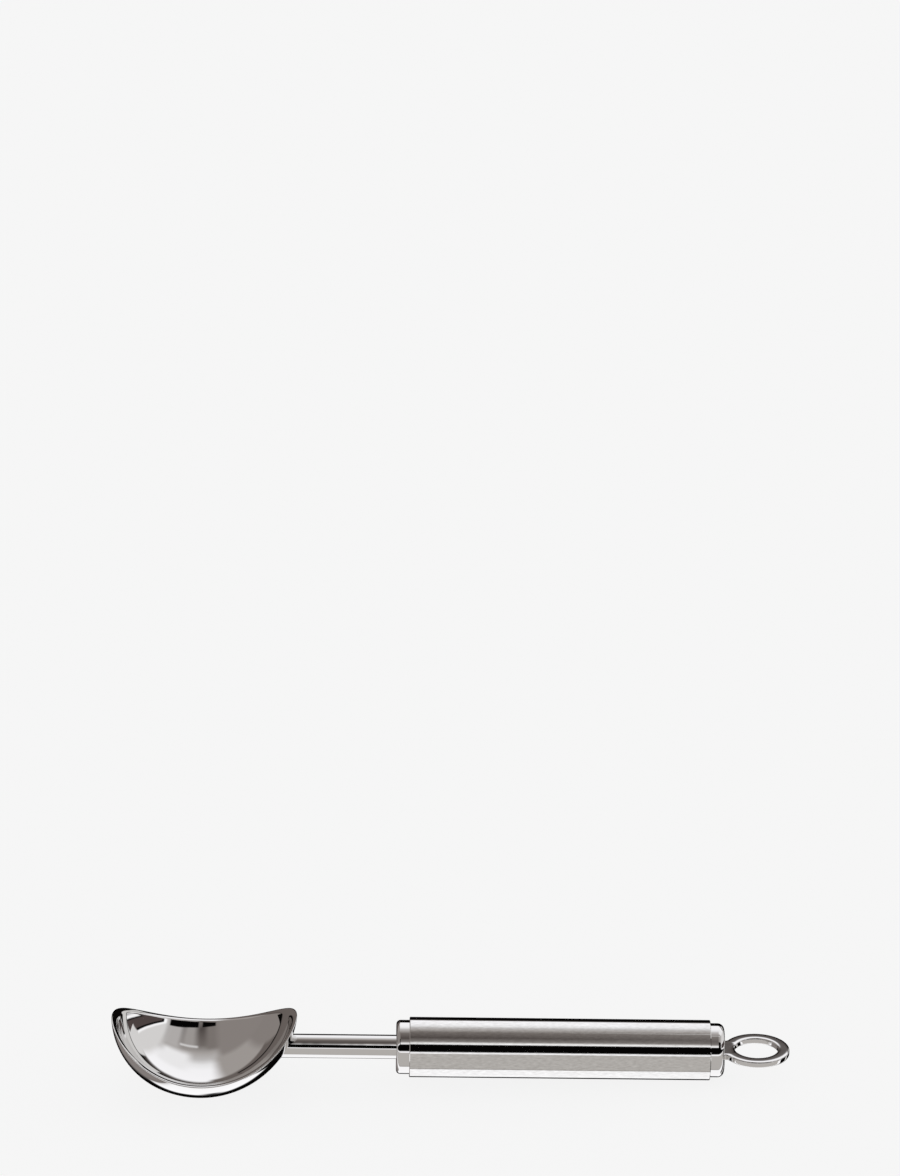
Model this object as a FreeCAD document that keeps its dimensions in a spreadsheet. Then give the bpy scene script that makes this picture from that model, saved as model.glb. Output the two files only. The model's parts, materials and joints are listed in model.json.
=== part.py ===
"""Ice cream scoop: pressed bowl, neck rod, and a tubular handle with two end caps and a hanging ring.

Every piece is modelled with X along the handle, towards the ring, and Z up. The whole scoop is then
tilted about Y until the bowl and the handle both touch the table. Sizes are in millimetres and degrees.
"""
import FreeCAD, Part
import enum
import math
import os

import Sketcher

DIMENSIONS = {
    # The cup's section: a wide crown arc at the bottom runs into a tighter side arc.
    "crown_radius": 33.1,
    "crown_angle": 45.0,
    "side_radius": 26.0,
    "cup_wall": 1.6,
    # The side arc curls in this far above its centre, and the saddle cut then takes the top off.
    "side_angle": 45.0,
    # The cup leans towards the tip. Its height is that of the side arc's centre above the handle's axis.
    "cup_lean": 14.0,
    "cup_height": 12.4,
    # The rim's low point at the bowl's sides lies below the handle's axis and forward of the cup's middle.
    "saddle_radius": 41.4,
    "saddle_drop": 2.9,
    "saddle_forward": 0.5,
    "rim_chamfer": 0.3,
    # The rod reaches from the cup's middle to the front cap's face, and on into its seat.
    "rod_diameter": 8.0,
    "rod_reach": 63.7,
    "rod_seat": 10.0,
    "weld_gap": 0.05,
    "seat_clearance": 0.02,
    "tube_length": 99.9,
    "tube_diameter": 20.0,
    "tube_wall": 1.0,
    "tube_chamfer": 0.2,
    # Both caps stand out of the tube by their reach, and go into it by the plug depth.
    "plug_clearance": 0.03,
    "plug_depth": 12.0,
    "front_cap_reach": 4.4,
    "front_cap_round": 1.4,
    "rear_cap_reach": 4.7,
    "rear_cap_round": 2.2,
    # The ring's offset is from the rear cap's face to the middle of its eye.
    "ring_diameter": 22.0,
    "ring_eye": 14.4,
    "ring_offset": 10.8,
    "ring_thickness": 2.2,
    "ring_outer_round": 0.8,
    "ring_eye_round": 0.6,
    "root_width": 10.7,
    "root_flare": 2.0,
    "shank_diameter": 5.0,
    "shank_length": 9.0,
}

X_AXIS = FreeCAD.Vector(1, 0, 0)
Y_AXIS = FreeCAD.Vector(0, 1, 0)
Z_AXIS = FreeCAD.Vector(0, 0, 1)

# Two points or faces nearer than this count as touching.
TOUCH = 0.01

# Each step brings the resting tilt closer, and after this many it no longer changes.
TILT_STEPS = 8


class Spot(enum.IntEnum):
    """How a sketch constraint names the ends and the centre of a line or an arc."""

    START = 1
    END = 2
    CENTRE = 3


class Axis(enum.IntEnum):
    """How a sketch constraint names the sketch's own axes."""

    HORIZONTAL = -1
    VERTICAL = -2


ORIGIN = (Axis.HORIZONTAL, Spot.START)


def make_sheet(doc):
    """Keep every driving dimension in one spreadsheet, with its name as the alias."""
    sheet = doc.addObject("Spreadsheet::Sheet", "Sizes")
    for row, (name, size) in enumerate(DIMENSIONS.items(), start=1):
        sheet.set(f"A{row}", name)
        sheet.set(f"B{row}", str(size))
        sheet.setAlias(f"B{row}", name)
    doc.recompute()
    return sheet


def new_body(doc, name):
    body = doc.addObject("PartDesign::Body", name)
    body.Label = name
    return body


def new_sketch(body, role, name):
    """Add a sketch on one of the body's own origin planes."""
    sketch = body.newObject("Sketcher::SketchObject", name)
    plane = next(item for item in body.Origin.OriginFeatures if item.Role == role)
    sketch.AttachmentSupport = [(plane, "")]
    sketch.MapMode = "FlatFace"
    return sketch


def point(across, up):
    return FreeCAD.Vector(across, up, 0)


def draw_lines(sketch, points):
    """Draw a chain of lines through the points, joined end to end."""
    lines = [
        sketch.addGeometry(Part.LineSegment(first, second), False)
        for first, second in zip(points, points[1:])
    ]
    for line, following in zip(lines, lines[1:]):
        fix(sketch, "Coincident", line, Spot.END, following, Spot.START)
    return lines


def draw_arc(sketch, centre, radius, start, end):
    """Draw an arc anticlockwise between two angles in radians."""
    return sketch.addGeometry(Part.ArcOfCircle(Part.Circle(centre, Z_AXIS, radius), start, end), False)


def fix(sketch, kind, *parts):
    """Add a constraint that has no size of its own."""
    return sketch.addConstraint(Sketcher.Constraint(kind, *parts))


def size(sketch, kind, *parts, value, expression):
    """Add a constraint of a given value, and bind it to the sheet's sizes."""
    index = sketch.addConstraint(Sketcher.Constraint(kind, *parts, value))
    sketch.setExpression(f"Constraints[{index}]", expression)


def draw_circle(sketch, radius, expression):
    """Draw a circle about the sketch's origin."""
    circle = sketch.addGeometry(Part.Circle(point(0, 0), Z_AXIS, radius), False)
    fix(sketch, "Coincident", circle, Spot.CENTRE, *ORIGIN)
    size(sketch, "Radius", circle, value=radius, expression=expression)
    return circle


def pad(body, sketch, name, length, reversed_side=False, both_sides=False):
    feature = body.newObject("PartDesign::Pad", name)
    feature.Profile = sketch
    feature.Reversed = reversed_side
    feature.Midplane = both_sides
    feature.setExpression("Length", length)
    body.Document.recompute()
    return feature


def pocket(body, sketch, name, depth=None):
    """Cut a blind pocket of a bound depth along +X, or one that goes right through both ways."""
    before = body.Shape.Volume
    feature = body.newObject("PartDesign::Pocket", name)
    feature.Profile = sketch
    if depth:
        feature.Reversed = True
        feature.setExpression("Length", depth)
    else:
        feature.Midplane = True
        feature.Type = "ThroughAll"
    body.Document.recompute()
    require_less(feature, before)
    return feature


def require_less(feature, before):
    """Stop if a cut took nothing away."""
    if feature.Shape.Volume >= before:
        raise RuntimeError(f"{feature.Name} cuts nothing")


def break_edges(body, kind, base, name, edges, expression):
    """Add a fillet or a chamfer on the named edges of the last feature."""
    feature = body.newObject(f"PartDesign::{kind}", name)
    feature.Base = (base, edges)
    feature.setExpression("Radius" if kind == "Fillet" else "Size", expression)
    body.Document.recompute()
    return feature


def edges_where(shape, test):
    """Names of the edges that pass a test on the edge and its middle point."""
    names = []
    for number, edge in enumerate(shape.Edges, start=1):
        middle = edge.valueAt((edge.FirstParameter + edge.LastParameter) / 2)
        if test(edge, middle):
            names.append(f"Edge{number}")
    return names


def crown_to_side(sheet):
    """Offset of the crown arc's centre from the side arc's, across and up in the cup's section."""
    step = sheet.crown_radius - sheet.side_radius
    angle = math.radians(sheet.crown_angle)
    return step * math.sin(angle), step * math.cos(angle)


def new_cup_sketch(body, name):
    """Add a sketch on the body's XZ plane whose vertical axis is the leaning axis of the cup."""
    sketch = new_sketch(body, "XZ_Plane", name)
    sketch.setExpression("AttachmentOffset.Base.y", "Sizes.cup_height")
    sketch.setExpression("AttachmentOffset.Rotation.Angle", "Sizes.cup_lean")
    return sketch


def draw_cup_wall(sketch, sheet, growth, expression):
    """Draw the crown and side arcs of the cup's outside, grown outwards by a stated amount."""
    across, up = crown_to_side(sheet)
    crown_radius = sheet.crown_radius + growth
    side_radius = sheet.side_radius + growth
    join = math.radians(sheet.crown_angle) - math.pi / 2
    top = math.radians(sheet.side_angle)
    lip = point(across + side_radius * math.cos(top), side_radius * math.sin(top))
    crown = draw_arc(sketch, point(0, up), crown_radius, -math.pi / 2, join)
    side = draw_arc(sketch, point(across, 0), side_radius, join, top)
    fix(sketch, "PointOnObject", crown, Spot.CENTRE, Axis.VERTICAL)
    fix(sketch, "PointOnObject", crown, Spot.START, Axis.VERTICAL)
    fix(sketch, "PointOnObject", side, Spot.CENTRE, Axis.HORIZONTAL)
    fix(sketch, "Tangent", crown, Spot.END, side, Spot.START)
    size(sketch, "Radius", crown, value=crown_radius, expression=f"Sizes.crown_radius + {expression}")
    size(sketch, "Radius", side, value=side_radius, expression=f"Sizes.side_radius + {expression}")
    size(
        sketch, "DistanceY", *ORIGIN, crown, Spot.CENTRE, value=up,
        expression="(Sizes.crown_radius - Sizes.side_radius) * cos(Sizes.crown_angle)",
    )
    size(
        sketch, "DistanceY", *ORIGIN, side, Spot.END, value=lip.y,
        expression=f"(Sizes.side_radius + {expression}) * sin(Sizes.side_angle)",
    )
    bottom = point(0, up - crown_radius)
    return crown, side, bottom, lip


def make_bowl(doc, sheet):
    """Turned shell of even wall whose rim is one saddle-shaped cut, low at the sides, high at tip and heel."""
    body = new_body(doc, "bowl")
    section = new_cup_sketch(body, "cup_section")
    crown, side, bottom, lip = draw_cup_wall(section, sheet, 0.0, "0")
    inner_crown, inner_side, inner_bottom, inner_lip = draw_cup_wall(
        section, sheet, -sheet.cup_wall, "(-Sizes.cup_wall)"
    )
    top, = draw_lines(section, [lip, inner_lip])
    axis, = draw_lines(section, [inner_bottom, bottom])
    fix(section, "Coincident", side, Spot.END, top, Spot.START)
    fix(section, "Coincident", top, Spot.END, inner_side, Spot.END)
    fix(section, "Coincident", inner_crown, Spot.START, axis, Spot.START)
    fix(section, "Coincident", axis, Spot.END, crown, Spot.START)
    shell = body.newObject("PartDesign::Revolution", "cup_shell")
    shell.Profile = section
    shell.ReferenceAxis = (section, ["V_Axis"])
    shell.Angle = 360
    doc.recompute()

    saddle = new_sketch(body, "XZ_Plane", "saddle_outline")
    arc = saddle.addGeometry(
        Part.Circle(
            point(-sheet.saddle_forward, sheet.saddle_radius - sheet.saddle_drop),
            Z_AXIS, sheet.saddle_radius,
        ), False
    )
    size(saddle, "Radius", arc, value=sheet.saddle_radius, expression="Sizes.saddle_radius")
    size(
        saddle, "DistanceX", arc, Spot.CENTRE, *ORIGIN, value=sheet.saddle_forward,
        expression="Sizes.saddle_forward",
    )
    size(
        saddle, "DistanceY", *ORIGIN, arc, Spot.CENTRE, value=sheet.saddle_radius - sheet.saddle_drop,
        expression="Sizes.saddle_radius - Sizes.saddle_drop",
    )
    rim = pocket(body, saddle, "saddle_cut")
    break_edges(body, "Chamfer", rim, "rim_break", rim_edges(rim.Shape), "Sizes.rim_chamfer")
    return body


def rim_edges(shape):
    """Names of the edges where the saddle cut meets the inside and the outside of the bowl."""
    cut = [face for face in shape.Faces if isinstance(face.Surface, Part.Cylinder)]

    def on_rim(edge, middle):
        return sum(edge.isSame(side) for face in cut for side in face.Edges) == 1

    return edges_where(shape, on_rim)


def make_neck_rod(doc, sheet):
    """Solid rod, coped to the bowl's outside at its front end and square at its back end."""
    body = new_body(doc, "neck_rod")
    section = new_sketch(body, "YZ_Plane", "rod_section")
    draw_circle(section, sheet.rod_diameter / 2, "Sizes.rod_diameter / 2")
    bar = pad(body, section, "rod_bar", "Sizes.rod_reach + Sizes.rod_seat")

    cope = new_cup_sketch(body, "cope_section")
    crown, side, bottom, lip = draw_cup_wall(cope, sheet, sheet.weld_gap, "Sizes.weld_gap")
    top, axis = draw_lines(cope, [lip, point(0, lip.y), bottom])
    fix(cope, "Coincident", side, Spot.END, top, Spot.START)
    fix(cope, "Coincident", axis, Spot.END, crown, Spot.START)
    fix(cope, "Horizontal", top)
    fix(cope, "PointOnObject", top, Spot.END, Axis.VERTICAL)
    cut = body.newObject("PartDesign::Groove", "rod_cope")
    cut.Profile = cope
    cut.ReferenceAxis = (cope, ["V_Axis"])
    cut.Angle = 360
    doc.recompute()
    require_less(cut, bar.Shape.Volume)
    return body


def make_handle_tube(doc, sheet):
    """Plain tube with its outer end edges just broken, open at both ends until the caps go in."""
    body = new_body(doc, "handle_tube")
    section = new_sketch(body, "YZ_Plane", "tube_section")
    radius = sheet.tube_diameter / 2
    draw_circle(section, radius, "Sizes.tube_diameter / 2")
    draw_circle(section, radius - sheet.tube_wall, "Sizes.tube_diameter / 2 - Sizes.tube_wall")
    run = pad(body, section, "tube_run", "Sizes.tube_length")

    def outer_end(edge, middle):
        halfway = radius - sheet.tube_wall / 2
        return isinstance(edge.Curve, Part.Circle) and edge.Curve.Radius > halfway

    ends = edges_where(run.Shape, outer_end)
    break_edges(body, "Chamfer", run, "tube_edges", ends, "Sizes.tube_chamfer")
    return body


def make_cap(doc, sheet, name, bore, bore_depth):
    """Turned plug with a rounded rim and a blind bore in its outer face.

    The outer face is at x = 0 and the plug runs along +X. bore and bore_depth name the sizes of
    what is set in it.
    """
    body = new_body(doc, name)
    profile = new_sketch(body, "XZ_Plane", f"{name}_profile")
    radius = sheet.tube_diameter / 2 - sheet.tube_wall - sheet.plug_clearance
    rounding = sheet.get(f"{name}_round")
    length = sheet.get(f"{name}_reach") + sheet.plug_depth

    rim = draw_arc(profile, point(rounding, radius - rounding), rounding, math.pi / 2, math.pi)
    side, back, axis, face = draw_lines(profile, [
        point(rounding, radius),
        point(length, radius),
        point(length, 0),
        point(0, 0),
        point(0, radius - rounding),
    ])
    fix(profile, "Tangent", rim, Spot.START, side, Spot.START)
    fix(profile, "Tangent", rim, Spot.END, face, Spot.END)
    fix(profile, "Horizontal", side)
    fix(profile, "Vertical", back)
    fix(profile, "Vertical", face)
    fix(profile, "Coincident", face, Spot.START, *ORIGIN)
    fix(profile, "PointOnObject", back, Spot.END, Axis.HORIZONTAL)
    size(profile, "Radius", rim, value=rounding, expression=f"Sizes.{name}_round")
    size(
        profile, "DistanceX", *ORIGIN, back, Spot.END, value=length,
        expression=f"Sizes.{name}_reach + Sizes.plug_depth",
    )
    size(
        profile, "DistanceY", back, Spot.END, back, Spot.START, value=radius,
        expression="Sizes.tube_diameter / 2 - Sizes.tube_wall - Sizes.plug_clearance",
    )
    plug = body.newObject("PartDesign::Revolution", f"{name}_plug")
    plug.Profile = profile
    plug.ReferenceAxis = (profile, ["H_Axis"])
    plug.Angle = 360
    doc.recompute()

    mouth = new_sketch(body, "YZ_Plane", f"{name}_bore_outline")
    draw_circle(
        mouth, sheet.get(bore) / 2 + sheet.seat_clearance, f"Sizes.{bore} / 2 + Sizes.seat_clearance"
    )
    pocket(body, mouth, f"{name}_bore", f"Sizes.{bore_depth} + Sizes.seat_clearance")
    return body


def make_hanging_ring(doc, sheet):
    """Rounded ring whose root flares to a shoulder on the cap's face, with a shank set in the cap.

    The shoulder is at x = 0, the ring lies in the XY plane, and the shank runs along -X.
    """
    body = new_body(doc, "hanging_ring")
    outline = draw_ring_outline(body, sheet)
    plate = pad(body, outline, "ring_plate", "Sizes.ring_thickness", both_sides=True)

    def on_flat(edge, middle):
        return abs(middle.z) > sheet.ring_thickness / 2 - TOUCH

    outside = break_edges(
        body, "Fillet", plate, "ring_outer_edges", edges_where(plate.Shape, on_flat),
        "Sizes.ring_outer_round",
    )
    eye = cut_eye(body, sheet)

    def round_eye(edge, middle):
        reach = math.hypot(middle.x - sheet.ring_offset, middle.y)
        return on_flat(edge, middle) and reach < sheet.ring_eye / 2 + TOUCH

    break_edges(
        body, "Fillet", eye, "ring_eye_edges", edges_where(eye.Shape, round_eye),
        "Sizes.ring_eye_round",
    )
    trim_root(body, sheet)
    shank = new_sketch(body, "YZ_Plane", "shank_outline")
    draw_circle(shank, sheet.shank_diameter / 2, "Sizes.shank_diameter / 2")
    pad(body, shank, "ring_shank", "Sizes.shank_length", reversed_side=True)
    return body


def draw_ring_outline(body, sheet):
    """Outline of the ring: a large arc that two concave arcs join to the sides of the root.

    The root is drawn too long, well past the cap's face, and is cut off square later.
    """
    outline = new_sketch(body, "XY_Plane", "ring_outline")
    radius = sheet.ring_diameter / 2
    flare = sheet.root_flare
    half = sheet.root_width / 2
    neck = sheet.ring_offset - math.sqrt((radius + flare) ** 2 - (half + flare) ** 2)
    turn = math.asin((half + flare) / (radius + flare))
    back = neck - radius

    ring = draw_arc(outline, point(sheet.ring_offset, 0), radius, turn - math.pi, math.pi - turn)
    upper = draw_arc(outline, point(neck, half + flare), flare, -math.pi / 2, -turn)
    lower = draw_arc(outline, point(neck, -half - flare), flare, turn, math.pi / 2)
    top, end, bottom = draw_lines(outline, [
        point(neck, half), point(back, half), point(back, -half), point(neck, -half),
    ])
    fix(outline, "Tangent", ring, Spot.END, upper, Spot.END)
    fix(outline, "Tangent", upper, Spot.START, top, Spot.START)
    fix(outline, "Tangent", bottom, Spot.END, lower, Spot.END)
    fix(outline, "Tangent", lower, Spot.START, ring, Spot.START)
    fix(outline, "Horizontal", top)
    fix(outline, "Symmetric", end, Spot.START, end, Spot.END, Axis.HORIZONTAL)
    fix(outline, "PointOnObject", ring, Spot.CENTRE, Axis.HORIZONTAL)
    fix(outline, "Equal", upper, lower)
    size(outline, "Radius", ring, value=radius, expression="Sizes.ring_diameter / 2")
    size(outline, "Radius", upper, value=flare, expression="Sizes.root_flare")
    size(
        outline, "DistanceX", *ORIGIN, ring, Spot.CENTRE, value=sheet.ring_offset,
        expression="Sizes.ring_offset",
    )
    size(
        outline, "DistanceY", end, Spot.END, end, Spot.START, value=2 * half,
        expression="Sizes.root_width",
    )
    size(
        outline, "DistanceX", top, Spot.END, top, Spot.START, value=radius,
        expression="Sizes.ring_diameter / 2",
    )
    return outline


def cut_eye(body, sheet):
    """Cut the round eye through the ring."""
    outline = new_sketch(body, "XY_Plane", "ring_eye_outline")
    outline.setExpression("AttachmentOffset.Base.x", "Sizes.ring_offset")
    draw_circle(outline, sheet.ring_eye / 2, "Sizes.ring_eye / 2")
    return pocket(body, outline, "ring_eye")


def trim_root(body, sheet):
    """Cut the root off square at x = 0, where its shoulder seats on the cap."""
    outline = new_sketch(body, "XY_Plane", "root_trim_outline")
    reach = sheet.ring_diameter
    shoulder, upper, back, lower = draw_lines(outline, [
        point(0, -reach), point(0, reach), point(-reach, reach), point(-reach, -reach), point(0, -reach),
    ])
    fix(outline, "Coincident", lower, Spot.END, shoulder, Spot.START)
    fix(outline, "Symmetric", shoulder, Spot.START, shoulder, Spot.END, *ORIGIN)
    fix(outline, "Vertical", shoulder)
    fix(outline, "Vertical", back)
    fix(outline, "Horizontal", upper)
    fix(outline, "Horizontal", lower)
    fix(outline, "Equal", upper, shoulder)
    size(
        outline, "DistanceY", shoulder, Spot.START, shoulder, Spot.END, value=2 * reach,
        expression="2 * Sizes.ring_diameter",
    )
    pocket(body, outline, "root_trim")


def lowest_of_cup(sheet, down):
    """Point of the cup's outside that lies furthest along a unit direction in the XZ plane."""
    across, up = crown_to_side(sheet)
    lean = FreeCAD.Rotation(Y_AXIS, -sheet.cup_lean)
    direction = lean.inverted().multVec(down)
    if abs(math.atan2(direction.x, -direction.z)) < math.radians(sheet.crown_angle):
        local = FreeCAD.Vector(0, 0, up) + direction * sheet.crown_radius
    else:
        local = FreeCAD.Vector(math.copysign(across, direction.x), 0, 0) + direction * sheet.side_radius
    return FreeCAD.Vector(0, 0, sheet.cup_height) + lean.multVec(local)


def rest_tilt(sheet):
    """Angle in degrees about Y that brings the cup and the tube's rear edge level with each other."""
    tube_end = sheet.rod_reach + sheet.front_cap_reach + sheet.tube_length
    heel = FreeCAD.Vector(tube_end - sheet.tube_chamfer, 0, -sheet.tube_diameter / 2)
    tilt = 0.0
    for _ in range(TILT_STEPS):
        down = FreeCAD.Vector(math.sin(tilt), 0, -math.cos(tilt))
        span = heel - lowest_of_cup(sheet, down)
        tilt = math.atan2(span.z, span.x)
    return math.degrees(tilt)


def make_pieces(doc, sheet):
    """Build every piece, and give for each its place along the handle and whether it is turned round."""
    tube_front = sheet.rod_reach + sheet.front_cap_reach
    rear_face = tube_front + sheet.tube_length + sheet.rear_cap_reach
    return [
        (make_bowl(doc, sheet), 0.0, False),
        (make_neck_rod(doc, sheet), 0.0, False),
        (make_cap(doc, sheet, "front_cap", "rod_diameter", "rod_seat"), sheet.rod_reach, False),
        (make_handle_tube(doc, sheet), tube_front, False),
        (make_cap(doc, sheet, "rear_cap", "shank_diameter", "shank_length"), rear_face, True),
        (make_hanging_ring(doc, sheet), rear_face, False),
    ]


def lay_on_table(pieces, sheet):
    """Tilt the pieces to their rest, and put the bottom centre of their common box at the origin."""
    tilt = FreeCAD.Placement(FreeCAD.Vector(), FreeCAD.Rotation(Y_AXIS, rest_tilt(sheet)))
    box = FreeCAD.BoundBox()
    for piece, along, turned in pieces:
        heading = FreeCAD.Rotation(Z_AXIS, 180 if turned else 0)
        piece.Placement = tilt.multiply(FreeCAD.Placement(X_AXIS * along, heading))
        box.add(piece.Shape.optimalBoundingBox(False))
    shift = FreeCAD.Vector(-box.Center.x, -box.Center.y, -box.ZMin)
    for piece, along, turned in pieces:
        piece.Placement.Base = piece.Placement.Base + shift


def check_document(doc, pieces):
    """Stop if any object failed to compute, or any piece is not one valid solid."""
    for item in doc.Objects:
        if "Invalid" in item.State or "Error" in item.State:
            raise RuntimeError(f"{item.Name} failed: {item.State}")
    for piece, along, turned in pieces:
        shape = piece.Shape
        if shape.isNull() or not shape.isValid() or len(shape.Solids) != 1:
            raise RuntimeError(f"{piece.Label} is not one valid solid")


def main():
    doc = FreeCAD.newDocument("ice_cream_scoop")
    sheet = make_sheet(doc)
    pieces = make_pieces(doc, sheet)
    doc.recompute()
    lay_on_table(pieces, sheet)
    doc.recompute()
    check_document(doc, pieces)
    os.makedirs("parts", exist_ok=True)
    for piece, along, turned in pieces:
        piece.Shape.exportStep(f"parts/{piece.Label}.step")
        print(piece.Label, round(piece.Shape.Volume, 1), piece.Shape.optimalBoundingBox(False))


main()
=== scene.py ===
"""Looks of a stainless steel ice cream scoop: polished bowl, rod, caps and ring on a satin handle tube."""
import collections
import json
import math

import bpy
import numpy as np
from mathutils import Matrix, Vector


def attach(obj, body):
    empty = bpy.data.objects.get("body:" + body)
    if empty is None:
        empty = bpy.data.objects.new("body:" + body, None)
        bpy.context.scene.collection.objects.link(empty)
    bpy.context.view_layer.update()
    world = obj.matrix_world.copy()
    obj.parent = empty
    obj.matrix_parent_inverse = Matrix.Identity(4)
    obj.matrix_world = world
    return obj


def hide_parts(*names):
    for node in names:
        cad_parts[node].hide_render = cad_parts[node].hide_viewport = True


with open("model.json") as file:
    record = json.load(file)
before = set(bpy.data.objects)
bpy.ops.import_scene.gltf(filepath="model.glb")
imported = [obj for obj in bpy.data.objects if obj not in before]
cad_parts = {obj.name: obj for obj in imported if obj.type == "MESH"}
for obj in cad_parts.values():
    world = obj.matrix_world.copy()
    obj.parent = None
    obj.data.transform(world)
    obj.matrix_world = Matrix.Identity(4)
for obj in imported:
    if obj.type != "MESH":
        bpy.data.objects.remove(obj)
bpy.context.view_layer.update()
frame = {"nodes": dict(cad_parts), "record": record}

# Sizes of the object are in millimetres and degrees, along the handle (+X towards the ring), across and up.
MM = 0.001

# The cup is turned about a leaning axis: a wide crown arc at the bottom runs into a tighter side arc.
CROWN_RADIUS = 33.1
CROWN_ANGLE = 45.0
SIDE_RADIUS = 26.0
CUP_WALL = 1.6
CUP_LEAN = 14.0
CUP_HEIGHT = 12.4
EYE_TO_CUP = 183.5

# Its rim lies on a saddle: a level cylinder across the scoop, whose low line is under the handle's axis.
SADDLE_RADIUS = 41.4
SADDLE_DROP = 2.9
SADDLE_FORWARD = 0.5
RIM_ROUND = 0.75

# The hanging ring lies about its eye. Its root runs on into the rear cap, where it isn't seen.
RING_RADIUS = 10.99
EYE_RADIUS = 7.2
RING_HALF_THICKNESS = 1.1
RING_FULLNESS = 5.0
ROOT_HALF_WIDTH = 5.35
ROOT_FLARE = 2.0
ROOT_REACH = 12.0

# How finely the bowl and the ring are drawn, and between which angles, in radians, the rim is looked for.
BOWL_STEPS_ROUND, BOWL_STEPS_UP, RIM_STEPS = 288, 100, 10
RING_STEPS_ROUND, RING_SECTION_STEPS = 480, 96
RIM_SEARCH = (0.2, 2.6)
HALVINGS = 40
TINY = 1e-6

# Finishes of the steel: how wide the patches of a pattern are and how high its relief is, both in
# millimetres, and the limits of the roughness. The satin's streaks are drawn out along the handle.
HAZE_WIDTH, POLISHED_ROUGHNESS = 12.0, (0.02, 0.035)
BUFFING_WIDTH, BUFFING_HEIGHT = 6.0, 0.02
MOTTLE_WIDTH, SATIN_ROUGHNESS = 1.5, (0.03, 0.06)
STREAK_WIDTH, STREAK_HEIGHT, STREAK_DRAWN_OUT = 0.5, 0.003, 0.3

# The photograph: its size, where the middle of the cup lies on the handle's line in it, and its scale.
PHOTO_WIDTH, PHOTO_HEIGHT = 900, 1176
CUP_PIXEL = (204.4, 1044.7)
PIXELS_PER_MM = 3.01
CAMERA_ELEVATION = 26.3
CAMERA_ROLL = 1.16
LENS_MM, SENSOR_MM = 200.0, 36.0

# The floor and the backdrop look like white paper, and the floor gives most of that by itself. Its half
# width is in metres. The studio's strength makes up for the light that the steel swallows, so that the
# studio's tones show in the steel about as they are written.
PAPER = "#F6F6F6"
FLOOR_GLOW = 0.927
FLOOR_HALF_WIDTH = 3.0
STUDIO_STRENGTH = 1.4


def unit(turn):
    """Cosine and sine of an angle in degrees."""
    return math.cos(math.radians(turn)), math.sin(math.radians(turn))


def place(points):
    """Put points given from the middle of the ring's eye into the scoop's rest, in metres.

    The record gives the eye's place and the direction of its bore, so the turn about Y is known.
    """
    eye = next(mount for mount in frame["record"]["mounts"] if mount["name"] == "hanging_eye")
    up = np.array(eye["axis"])
    along = np.array([up[2], 0.0, -up[0]])
    across = np.array([0.0, 1.0, 0.0])
    return np.array(eye["pos_m"]) + points @ np.stack([along, across, up]) * MM


def tube_mesh(name, rows, around, poles=None):
    """Mesh of quads over rows of points. Each row is a closed loop, and the rows follow one another.

    Where around is true the last row joins the first. Otherwise poles are the points that close the
    first and the last row with a fan of triangles.
    """
    count, size = rows.shape[:2]
    here, step = np.meshgrid(np.arange(count if around else count - 1), np.arange(size), indexing="ij")
    ahead, turned = (here + 1) % count, (step + 1) % size
    quads = np.stack(
        [here * size + step, here * size + turned, ahead * size + turned, ahead * size + step], axis=-1
    )
    points = rows.reshape(-1, 3)
    faces = quads.reshape(-1, 4).tolist()
    if poles is not None:
        first, last = count * size, count * size + 1
        ring, following = np.arange(size), (np.arange(size) + 1) % size
        end = (count - 1) * size
        faces += np.stack([np.full(size, first), following, ring], axis=-1).tolist()
        faces += np.stack([np.full(size, last), end + ring, end + following], axis=-1).tolist()
        points = np.concatenate([points, poles])
    mesh = bpy.data.meshes.new(name)
    mesh.from_pydata(place(points).tolist(), [], faces)
    mesh.polygons.foreach_set("use_smooth", np.ones(len(faces), dtype=bool))
    mesh.update()
    piece = bpy.data.objects.new(name, mesh)
    bpy.context.collection.objects.link(piece)
    return piece


def cup_point(angle, turn, growth):
    """Point of the cup's outside, grown outwards by growth.

    angle runs up the section from the pole at the bottom, and is also the slope of the surface. Up to
    the crown angle the point is on the crown arc, and beyond it on the side arc: arc centre plus
    radius times (sin angle, -cos angle). The section is then turned about the cup's axis by turn and
    leant towards the tip.
    """
    step = CROWN_RADIUS - SIDE_RADIUS
    crown = angle < math.radians(CROWN_ANGLE)
    cosine, sine = unit(CROWN_ANGLE)
    radius = np.where(crown, CROWN_RADIUS, SIDE_RADIUS) + growth
    out = np.where(crown, 0.0, step * sine) + radius * np.sin(angle)
    up = np.where(crown, step * cosine, 0.0) - radius * np.cos(angle)
    ahead, aside = out * np.cos(turn), out * np.sin(turn)
    cosine, sine = unit(CUP_LEAN)
    return np.stack([
        ahead * cosine - up * sine - EYE_TO_CUP,
        aside,
        ahead * sine + up * cosine + CUP_HEIGHT,
    ], axis=-1)


def rim_angle(turn, growth):
    """Angle at which the grown cup crosses the saddle cylinder, found by halving between two angles."""
    low, high = (np.full_like(turn, limit) for limit in RIM_SEARCH)
    for _ in range(HALVINGS):
        middle = (low + high) / 2
        point = cup_point(middle, turn, growth)
        along = point[..., 0] + EYE_TO_CUP + SADDLE_FORWARD
        up = point[..., 2] - (SADDLE_RADIUS - SADDLE_DROP)
        under = np.hypot(along, up) > SADDLE_RADIUS
        low, high = np.where(under, middle, low), np.where(under, high, middle)
    return (low + high) / 2


def curve_through(start, corner, end, steps):
    """Quadratic curve from start to end that leaves and arrives in the direction of the corner."""
    share = np.linspace(0.0, 1.0, steps)[:, None, None]
    return (1 - share) ** 2 * start + 2 * share * (1 - share) * corner + share ** 2 * end


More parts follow.
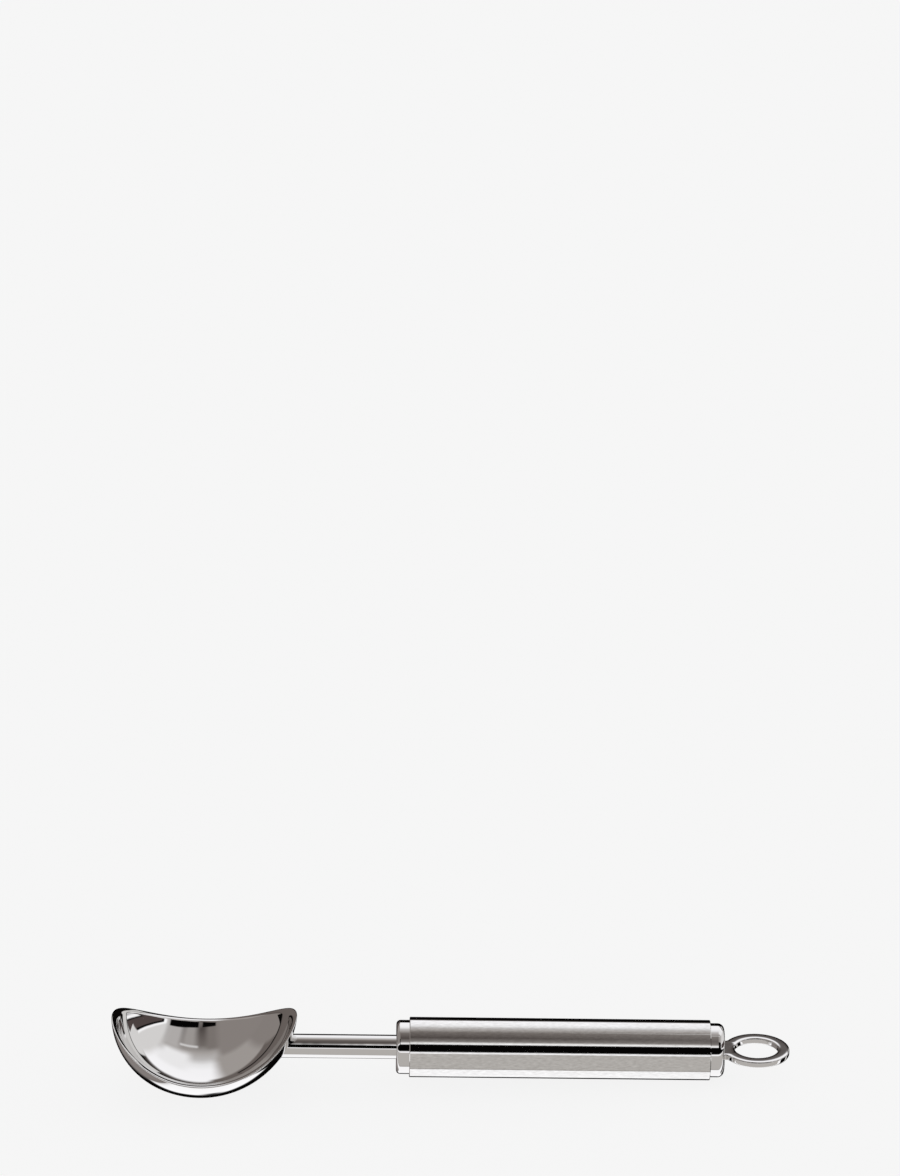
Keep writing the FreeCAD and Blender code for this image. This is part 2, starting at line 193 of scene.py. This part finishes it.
def make_bowl():
    """Shell of the cup: outside from the pole to the rim, over the rounded rim, and down the inside."""
    turn = np.linspace(0.0, 2 * np.pi, BOWL_STEPS_ROUND, endpoint=False)
    outer, inner = rim_angle(turn, 0.0), rim_angle(turn, -CUP_WALL)
    outer_corner, inner_corner = cup_point(outer, turn, 0.0), cup_point(inner, turn, -CUP_WALL)
    share = np.linspace(0.0, 1.0, BOWL_STEPS_UP + 1)[1:, None]
    round_angle = RIM_ROUND / SIDE_RADIUS
    outside = cup_point(share * (outer - round_angle), turn, 0.0)
    inside = cup_point(share * (inner - round_angle), turn, -CUP_WALL)[::-1]
    over = inner_corner - outer_corner
    over /= np.linalg.norm(over, axis=-1, keepdims=True)
    outer_round = curve_through(outside[-1], outer_corner, outer_corner + over * RIM_ROUND, RIM_STEPS)
    inner_round = curve_through(inner_corner - over * RIM_ROUND, inner_corner, inside[0], RIM_STEPS)
    rows = np.concatenate([outside, outer_round[1:], inner_round[:-1], inside])
    pole = np.zeros(1)
    poles = np.concatenate([cup_point(pole, pole, 0.0), cup_point(pole, pole, -CUP_WALL)])
    return tube_mesh("polished_bowl", rows, False, poles)


def ring_reach(turn):
    """Distance from the middle of the eye to the ring's outline, in the direction of turn.

    It is the ring's radius up to the flare, then the near side of the flare's circle, whose centre is a
    ring radius and a flare radius away, and then the straight side and end of the root.
    """
    centre_up = ROOT_HALF_WIDTH + ROOT_FLARE
    centre_back = -math.sqrt((RING_RADIUS + ROOT_FLARE) ** 2 - centre_up ** 2)
    ahead, aside = np.cos(turn), np.abs(np.sin(turn))
    turned = np.arccos(ahead)
    to_flare = math.atan2(centre_up, centre_back)
    to_root = math.atan2(ROOT_HALF_WIDTH, centre_back)
    towards = centre_back * ahead + centre_up * aside
    beyond = centre_back ** 2 + centre_up ** 2 - ROOT_FLARE ** 2
    flare = towards - np.sqrt(np.maximum(towards ** 2 - beyond, 0.0))
    root = np.minimum(ROOT_HALF_WIDTH / np.maximum(aside, TINY), ROOT_REACH / np.maximum(-ahead, TINY))
    return np.where(turned < to_flare, RING_RADIUS, np.where(turned < to_root, flare, root))


def make_ring():
    """Ring whose section is a fuller ellipse, |across| ** fullness + |up| ** fullness = 1, round its eye."""
    turn = np.linspace(0.0, 2 * np.pi, RING_STEPS_ROUND, endpoint=False)[:, None]
    lap = np.linspace(0.0, 2 * np.pi, RING_SECTION_STEPS, endpoint=False)[None, :]
    reach = ring_reach(turn)
    across = np.sign(np.cos(lap)) * np.abs(np.cos(lap)) ** (2 / RING_FULLNESS)
    up = np.sign(np.sin(lap)) * np.abs(np.sin(lap)) ** (2 / RING_FULLNESS)
    out = (reach + EYE_RADIUS) / 2 + (reach - EYE_RADIUS) / 2 * across
    height = np.broadcast_to(RING_HALF_THICKNESS * up, out.shape)
    rows = np.stack([out * np.cos(turn), out * np.sin(turn), height], axis=-1)
    return tube_mesh("polished_ring", rows, True)


def srgb(code):
    """Linear colour from an sRGB hex code."""
    parts = [int(code[start:start + 2], 16) / 255 for start in (1, 3, 5)]
    return tuple(p / 12.92 if p <= 0.04045 else ((p + 0.055) / 1.055) ** 2.4 for p in parts) + (1.0,)


def add(tree, kind, inputs=None, **settings):
    """Add a node with its settings. Each input is given a value or another node's output."""
    node = tree.nodes.new(kind)
    for name, setting in settings.items():
        setattr(node, name, setting)
    for name, value in (inputs or {}).items():
        if isinstance(value, bpy.types.NodeSocket):
            tree.links.new(value, node.inputs[name])
        else:
            node.inputs[name].default_value = value
    return node


def new_material(name):
    """Material with an empty node tree, and that tree."""
    material = bpy.data.materials.new(name)
    material.use_nodes = True
    material.node_tree.nodes.clear()
    return material, material.node_tree


def noise(tree, spot, width, detail):
    """Cloudy pattern whose patches are about width millimetres wide."""
    return add(tree, "ShaderNodeTexNoise", {
        "Vector": spot, "Scale": 1 / (width * MM), "Detail": detail,
    }).outputs["Fac"]


def spread(tree, pattern, low, high, limits):
    """Number that goes from one limit to the other while the pattern goes from low to high."""
    return add(tree, "ShaderNodeMapRange", {
        "Value": pattern, "From Min": low, "From Max": high, "To Min": limits[0], "To Max": limits[1],
    }).outputs["Result"]


def relief(tree, pattern, height):
    """Normal of a surface on which the pattern stands out by up to height millimetres."""
    return add(tree, "ShaderNodeBump", {
        "Height": pattern, "Distance": height * MM, "Strength": 1.0,
    }).outputs["Normal"]


def mixed(tree, share, first, second):
    """Colour between two others. A Mix node has its colours in sockets 6 and 7, and the result in 2."""
    return add(tree, "ShaderNodeMix", {0: share, 6: first, 7: second}, data_type="RGBA").outputs[2]


def metal(tree, colour, rough, normal):
    """Make a tree's surface metal."""
    shader = add(tree, "ShaderNodeBsdfPrincipled", {
        "Base Color": colour, "Metallic": 1.0, "Roughness": rough, "Normal": normal,
    })
    add(tree, "ShaderNodeOutputMaterial", {"Surface": shader.outputs["BSDF"]})


def polished_stainless():
    """Mirror-polished stainless steel: a slightly warm grey mirror.

    Buffing leaves the sheet very slightly uneven over a few millimetres, which makes the edges of
    reflections wander, and a faint haze in places.
    """
    material, tree = new_material("mirror_polished_stainless_steel")
    spot = add(tree, "ShaderNodeTexCoord").outputs["Object"]
    haze = spread(tree, noise(tree, spot, HAZE_WIDTH, 3.0), 0.35, 0.75, POLISHED_ROUGHNESS)
    uneven = relief(tree, noise(tree, spot, BUFFING_WIDTH, 1.0), BUFFING_HEIGHT)
    metal(tree, srgb("#DDDCDB"), haze, uneven)
    return material


def satin_stainless():
    """Fine satin stainless tube, finished lengthways: short streaks, and a mottling of its gloss."""
    material, tree = new_material("satin_stainless_steel")
    spot = add(tree, "ShaderNodeTexCoord").outputs["Object"]
    lengthways = add(tree, "ShaderNodeMapping", {"Vector": spot, "Scale": (STREAK_DRAWN_OUT, 1.0, 1.0)})
    streaks = noise(tree, lengthways.outputs["Vector"], STREAK_WIDTH, 2.0)
    mottle = spread(tree, noise(tree, spot, MOTTLE_WIDTH, 4.0), 0.3, 0.7, SATIN_ROUGHNESS)
    tone = mixed(tree, streaks, srgb("#BFBDBB"), srgb("#F4F4F3"))
    metal(tree, tone, mottle, relief(tree, streaks, STREAK_HEIGHT))
    return material


def wear(piece, material):
    """Give every slot of a piece the material."""
    if not piece.data.materials:
        piece.data.materials.append(material)
    for slot in piece.material_slots:
        slot.material = material


# What stands round the scoop, and shows in the steel. Each direction has four angles in degrees:
# turn: over the top, from the camera's side (0) through overhead (90) to the far side (180), and below
#   the scoop back again;
# lead: towards the ring (+) or the tip (-);
# rise: above the level of the camera's line of sight;
# away: from the line of sight itself, as it runs on beyond the scoop.
# An area lies between a low and a high limit of the angle that it goes by and between a left and a
# right lead, with a soft edge. Later areas lie over earlier ones.
# The angles and tones come from the photographed steel, which shows at each point what stands in the
# direction that it reflects there. The areas' names are guesses at what stood there.
Area = collections.namedtuple("Area", "by colour low high left right soft")

BLACK, PANEL = "#050404", "#F4F4F6"

# The room behind the areas: a tone at each of these turns, which runs evenly into the next one.
BACKGROUND = (
    (-180, BLACK), (-127, BLACK), (-124, PANEL), (-69, PANEL), (-66, "#8A8684"),
    (-62, "#ADAAA7"), (0, "#AEABA8"), (2, "#F2F2F4"), (6, "#F2F2F4"), (9, BLACK), (36, BLACK),
    (38, PANEL), (42, "#E4E3E3"), (48, "#7E7977"), (63, "#4C4644"), (86, "#6E6865"), (98, "#A39F9D"),
    (107, "#B8B6B6"), (116, "#E2E2E4"), (126, "#F0F0F3"), (149, "#F2F2F5"), (153.5, "#514C4A"),
    (160, BLACK), (180, BLACK),
)

AREAS = (
    # Matt grey wall beyond the tip.
    Area("turn", "#77716E", 50, 92, -20, -4, 4.0),
    Area("turn", "#837D7A", 44, 112, -95, -16, 5.0),
    Area("turn", "#9A9592", 105, 160, -95, -12, 6.0),
    Area("turn", "#817B78", 100, 190, -95, -47, 5.0),
    # Pale wall beyond the ring.
    Area("turn", "#989492", 57, 92, 7, 22, 5.0),
    Area("turn", "#ACA9A8", 57, 97, 24, 44, 5.0),
    Area("turn", "#CFCECE", 46, 160, 44, 95, 6.0),
    # Black card below the overhead panel, with a slot in it.
    Area("turn", BLACK, 9, 61, -15, 1, 1.0),
    Area("turn", BLACK, 9, 61, 5.5, 43, 1.0),
    # Edge of the overhead panel.
    Area("turn", "#C9C8C8", 87, 90, 5, 24, 1.5),
    Area("turn", "#E6E6E8", 100, 130, 12, 40, 6.0),
    # Low black cards, below the scoop and towards the ring.
    Area("turn", BLACK, -127, -121, -1.5, 3.5, 2.5),
    Area("turn", BLACK, -152, -92, 23, 95, 2.0),
    # Dark end of the pale wall, with its bright and its black edge.
    Area("rise", PANEL, 2, 21, 48, 95, 1.5),
    Area("rise", BLACK, 5, 18.5, 52, 95, 0.8),
    Area("rise", "#4B4241", 6.5, 16, 55, 95, 0.8),
    Area("turn", "#CFCECE", 152, 200, 40, 66, 1.5),
    Area("turn", "#CFCECE", -200, -160, 40, 54, 1.5),
    # Far end of the room: dark towards the tip, pale towards the ring, each with a black border.
    Area("turn", "#625B58", 147, 168, -50, -6, 3.0),
    Area("away", "#0A0808", 1, 58.5, -95, -22, 0.8),
    Area("away", "#625B58", 34, 56.0, -95, -22, 1.5),
    Area("away", "#0A0808", 1, 55.0, 22, 95, 0.8),
    Area("away", "#C4C3C2", 43, 53.5, 22, 95, 0.8),
    # Low grey card towards the tip.
    Area("turn", "#7E7876", -150, -92, -95, -22, 5.0),
)


def work_out(tree, operation, *values):
    """Result of a Math node on one value or two."""
    return add(tree, "ShaderNodeMath", dict(enumerate(values)), operation=operation).outputs[0]


def between(tree, angle, low, high, soft):
    """Soft-edged mask that is 1 where an angle lies between two others."""
    rising, falling = (
        add(tree, "ShaderNodeMapRange", {
            "Value": angle, "From Min": limit - soft, "From Max": limit + soft,
            "To Min": first, "To Max": last,
        }, interpolation_type="SMOOTHSTEP").outputs["Result"]
        for limit, first, last in ((low, 0.0, 1.0), (high, 1.0, 0.0))
    )
    return work_out(tree, "MULTIPLY", rising, falling)


def studio_angles(tree):
    """The four angles of a direction, from its parts along X, Y and Z and along two fixed axes."""
    way = add(tree, "ShaderNodeTexCoord").outputs["Generated"]
    parts = add(tree, "ShaderNodeSeparateXYZ", {0: way}).outputs
    towards = work_out(tree, "MULTIPLY", parts["Y"], -1.0)
    angles = {
        "turn": work_out(tree, "ARCTAN2", parts["Z"], towards),
        "lead": work_out(tree, "ARCSINE", parts["X"]),
    }
    cosine, sine = unit(CAMERA_ELEVATION)
    axes = (("rise", (0, sine, cosine), "ARCSINE"), ("away", (0, cosine, -sine), "ARCCOSINE"))
    for name, axis, measure in axes:
        along = add(tree, "ShaderNodeVectorMath", {0: way, 1: axis}, operation="DOT_PRODUCT")
        angles[name] = work_out(tree, measure, along.outputs["Value"])
    return {name: work_out(tree, "DEGREES", angle) for name, angle in angles.items()}


def studio_background(tree, turn):
    """Tone of the background at a turn."""
    share = add(tree, "ShaderNodeMapRange", {"Value": turn, "From Min": -180.0, "From Max": 180.0})
    ramp = add(tree, "ShaderNodeValToRGB", {"Fac": share.outputs["Result"]})
    stops = ramp.color_ramp.elements
    stops.remove(stops[1])
    stops[0].position = 0.0
    stops[0].color = srgb(BACKGROUND[0][1])
    for angle, colour in BACKGROUND[1:]:
        stops.new((angle + 180) / 360).color = srgb(colour)
    return ramp.outputs["Color"]


def studio_world():
    """Surroundings: the studio for what the steel reflects, and paper white for all other light.

    The studio is the background, with each area laid over it.
    """
    world = bpy.data.worlds.new("studio")
    bpy.context.scene.world = world
    # The world has no small lamps to aim at, and aiming at it only puts speckles in the black cards.
    world.cycles.sampling_method = "NONE"
    world.use_nodes = True
    tree = world.node_tree
    tree.nodes.clear()

    angles = studio_angles(tree)
    studio = studio_background(tree, angles["turn"])
    for area in AREAS:
        high = between(tree, angles[area.by], area.low, area.high, area.soft)
        wide = between(tree, angles["lead"], area.left, area.right, area.soft)
        studio = mixed(tree, work_out(tree, "MULTIPLY", high, wide), studio, srgb(area.colour))

    paper = add(tree, "ShaderNodeBackground", {"Color": srgb(PAPER)})
    mirrored = add(tree, "ShaderNodeBackground", {"Color": studio, "Strength": STUDIO_STRENGTH})
    rays = add(tree, "ShaderNodeLightPath")
    both = add(tree, "ShaderNodeMixShader", {
        0: rays.outputs["Is Glossy Ray"], 1: paper.outputs[0], 2: mirrored.outputs[0],
    })
    add(tree, "ShaderNodeOutputWorld", {"Surface": both.outputs[0]})


def make_floor():
    """Pale floor that is mostly bright by itself, so that the scoop's soft shadow on it stays faint."""
    half = FLOOR_HALF_WIDTH
    corners = [(-half, -half, 0.0), (half, -half, 0.0), (half, half, 0.0), (-half, half, 0.0)]
    mesh = bpy.data.meshes.new("floor")
    mesh.from_pydata(corners, [], [(0, 1, 2, 3)])
    floor = bpy.data.objects.new("floor", mesh)
    bpy.context.collection.objects.link(floor)
    material, tree = new_material("pale_studio_floor")
    glow = add(tree, "ShaderNodeEmission", {"Color": srgb(PAPER), "Strength": FLOOR_GLOW})
    matt = add(tree, "ShaderNodeBsdfDiffuse", {"Color": srgb("#4C4C4C")})
    both = add(tree, "ShaderNodeAddShader", {0: glow.outputs[0], 1: matt.outputs[0]})
    add(tree, "ShaderNodeOutputMaterial", {"Surface": both.outputs[0]})
    wear(floor, material)
    # The steel reflects the studio's low cards in place of the floor.
    floor.visible_glossy = False


def make_camera():
    """Camera whose line of sight to the middle of the cup comes down at the photograph's angle.

    The scoop lies low in the frame, so the camera's own axis is turned up and aside from that line,
    until the middle of the cup is at its pixel.
    """
    focal_pixels = LENS_MM / SENSOR_MM * max(PHOTO_WIDTH, PHOTO_HEIGHT)
    aside = (CUP_PIXEL[0] - PHOTO_WIDTH / 2) / focal_pixels
    below = (CUP_PIXEL[1] - PHOTO_HEIGHT / 2) / focal_pixels
    distance = focal_pixels / (PIXELS_PER_MM / MM)
    cosine, sine = unit(CAMERA_ELEVATION - math.degrees(math.atan(below)))
    back = Vector((0.0, -cosine, sine))
    right = Matrix.Rotation(-math.radians(CAMERA_ROLL), 3, back) @ Vector((1.0, 0.0, 0.0))
    up = back.cross(right)
    cup = Vector(place(np.array([-EYE_TO_CUP, 0.0, 0.0])))
    data = bpy.data.cameras.new("camera")
    data.lens = LENS_MM
    data.sensor_width = SENSOR_MM
    camera = bpy.data.objects.new("camera", data)
    bpy.context.collection.objects.link(camera)
    turned = Matrix((right, up, back)).transposed().to_4x4()
    camera.matrix_world = Matrix.Translation(cup + (back - right * aside + up * below) * distance) @ turned
    bpy.context.scene.camera = camera


def main():
    """Give the solids their steel, put the finer bowl and ring in place, and set up the studio."""
    polished, satin = polished_stainless(), satin_stainless()
    for name, node in frame["nodes"].items():
        wear(node, satin if name == "handle_tube" else polished)
    for piece, node in ((make_bowl(), "bowl"), (make_ring(), "hanging_ring")):
        wear(piece, polished)
        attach(piece, "root")
        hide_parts(node)
    studio_world()
    make_floor()
    make_camera()
    bpy.context.scene.view_settings.view_transform = "Standard"


main()
